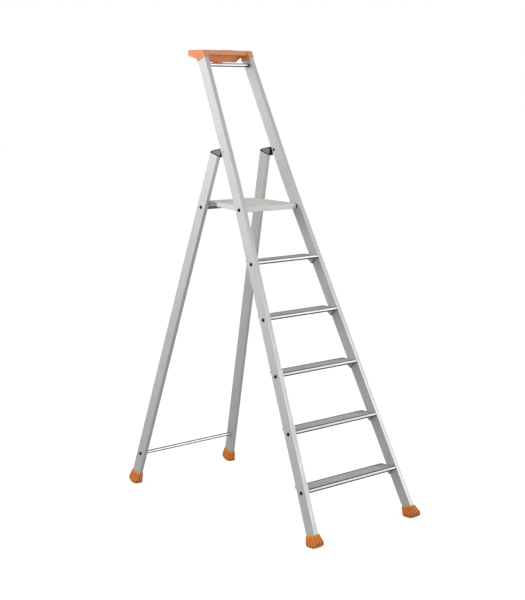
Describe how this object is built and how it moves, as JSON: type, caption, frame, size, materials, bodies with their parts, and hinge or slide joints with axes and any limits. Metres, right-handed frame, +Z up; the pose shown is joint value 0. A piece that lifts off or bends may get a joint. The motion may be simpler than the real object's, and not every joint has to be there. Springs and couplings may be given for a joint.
{
  "type": "platform step ladder",
  "caption": "Free-standing step ladder with flat treads, a fold-up standing platform, a guard frame with a tool tray on top and a hinged rear support frame.",
  "frame": {"origin": "on the floor, in the middle of the open ladder's footprint", "axes": "+X across the ladder to the climber's right, -Y towards the climber, +Z up"},
  "size_m": [0.6722, 1.3976, 2.1536],
  "materials": {
    "frame_aluminium": "satin extruded",
    "tread_aluminium": "satin, ribbed",
    "deck_aluminium": "matte, ribbed",
    "bracket_aluminium": "satin",
    "pin_aluminium": "satin",
    "black_steel": "black, semi-matte",
    "black_plastic": "moulded, matte",
    "tray_orange": "moulded, satin",
    "shoe_orange": "moulded, matte"
  },
  "bodies": {
    "front_frame": {"front_stile_left": "frame_aluminium", "front_foot_left": "shoe_orange", "front_stile_right": "frame_aluminium", "front_foot_right": "shoe_orange", "tread_bolt_1_left": "black_steel", "tread_bracket_1_left": "bracket_aluminium", "tread_bolt_1_right": "black_steel", "tread_bracket_1_right": "bracket_aluminium", "tread_bolt_2_left": "black_steel", "tread_bracket_2_left": "bracket_aluminium", "tread_bolt_2_right": "black_steel", "tread_bracket_2_right": "bracket_aluminium", "tread_bolt_3_left": "black_steel", "tread_bracket_3_left": "bracket_aluminium", "tread_bolt_3_right": "black_steel", "tread_bracket_3_right": "bracket_aluminium", "tread_bolt_4_left": "black_steel", "tread_bracket_4_left": "bracket_aluminium", "tread_bolt_4_right": "black_steel", "tread_bracket_4_right": "bracket_aluminium", "tread_bolt_5_left": "black_steel", "tread_bracket_5_left": "bracket_aluminium", "tread_bolt_5_right": "black_steel", "tread_bracket_5_right": "bracket_aluminium", "tread_1": "tread_aluminium", "tread_2": "tread_aluminium", "tread_3": "tread_aluminium", "tread_4": "tread_aluminium", "tread_5": "tread_aluminium", "top_rail": "frame_aluminium", "top_rail_collar_left": "black_plastic", "top_rail_collar_right": "black_plastic", "tool_tray": "tray_orange", "hinge_pin_left": "pin_aluminium", "hinge_pin_right": "pin_aluminium", "platform_bolt_left": "black_steel", "platform_bush_left": "black_plastic", "platform_bolt_right": "black_steel", "platform_bush_right": "black_plastic"},
    "rear_frame": {"rear_leg_left": "frame_aluminium", "hinge_cap_left": "black_plastic", "rear_foot_left": "shoe_orange", "rear_tube_bolt_left": "black_steel", "crossbar_bolt_left": "black_steel", "rear_leg_right": "frame_aluminium", "hinge_cap_right": "black_plastic", "rear_foot_right": "shoe_orange", "rear_tube_bolt_right": "black_steel", "crossbar_bolt_right": "black_steel", "rear_tube": "frame_aluminium", "rear_crossbar": "frame_aluminium", "crossbar_screw_left": "black_steel", "crossbar_screw_right": "black_steel"},
    "platform": {"platform_deck": "deck_aluminium", "platform_side_left": "deck_aluminium", "platform_side_right": "deck_aluminium"}
  },
  "joints": [
    {"name": "rear_frame_fold", "type": "hinge", "parent": "front_frame", "child": "rear_frame", "pos_m": [0, 0.11742, 1.682], "axis": [-1, 0, 0], "range_deg": [0, 40]},
    {"name": "platform_fold", "type": "hinge", "parent": "front_frame", "child": "platform", "pos_m": [0, -0.01874, 1.419], "axis": [1, 0, 0], "range_deg": [0, 62]}
  ],
  "couplings": [
    {"joint": "platform_fold", "follows": "rear_frame_fold", "ratio": 1.54}
  ]
}
